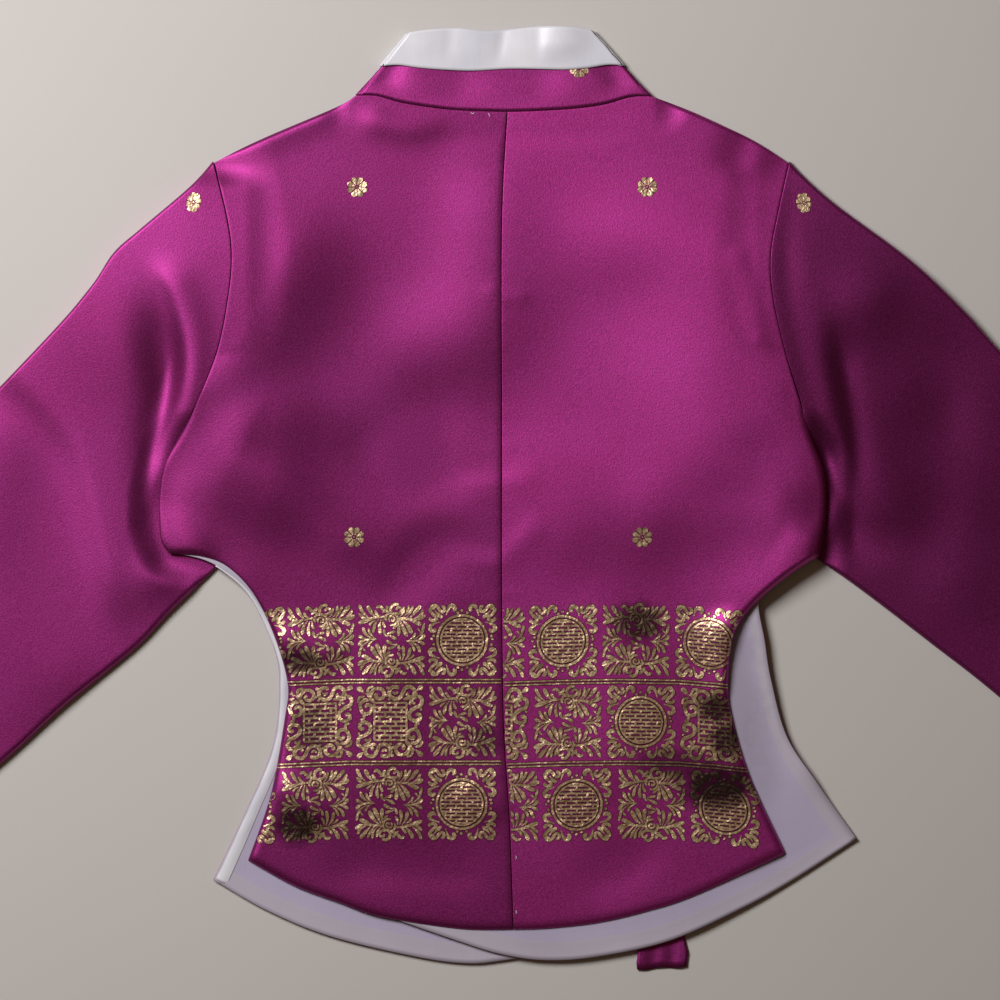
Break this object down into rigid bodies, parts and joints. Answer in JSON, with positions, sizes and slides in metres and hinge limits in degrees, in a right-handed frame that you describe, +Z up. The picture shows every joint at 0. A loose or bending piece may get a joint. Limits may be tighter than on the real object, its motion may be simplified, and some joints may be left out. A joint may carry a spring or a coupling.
{
  "type": "hanbok jacket",
  "caption": "Woman's hanbok jacket laid flat on its front: satin back with curved side slits, lined fronts showing past it, white-edged collar band and ribbon ties.",
  "frame": {"origin": "centre of the jacket's bounding box, on the surface that it lies on", "axes": "+X to the viewer's right along the sleeves, +Y towards the collar, +Z up out of the surface"},
  "size_m": [1.1743, 0.641, 0.0135],
  "materials": {
    "satin": "magenta polyester satin with fine grain and a soft sheen",
    "lining": "pale lavender plain-weave lining, nearly matt",
    "trim": "white satin over a stiff paper core",
    "foil": "gold foil print, thin and slightly crazed",
    "thread": "sewing thread"
  },
  "bodies": {
    "root": {"back_left": "satin", "back_right": "satin", "front_left": "satin", "front_right": "satin", "lining_left": "lining", "lining_right": "lining", "sleeve_left_back": "satin", "sleeve_left_front": "satin", "sleeve_right_back": "satin", "sleeve_right_front": "satin", "collar_band": "satin", "collar_trim": "trim", "tie_long": "satin", "tie_short": "satin"}
  },
  "joints": []
}
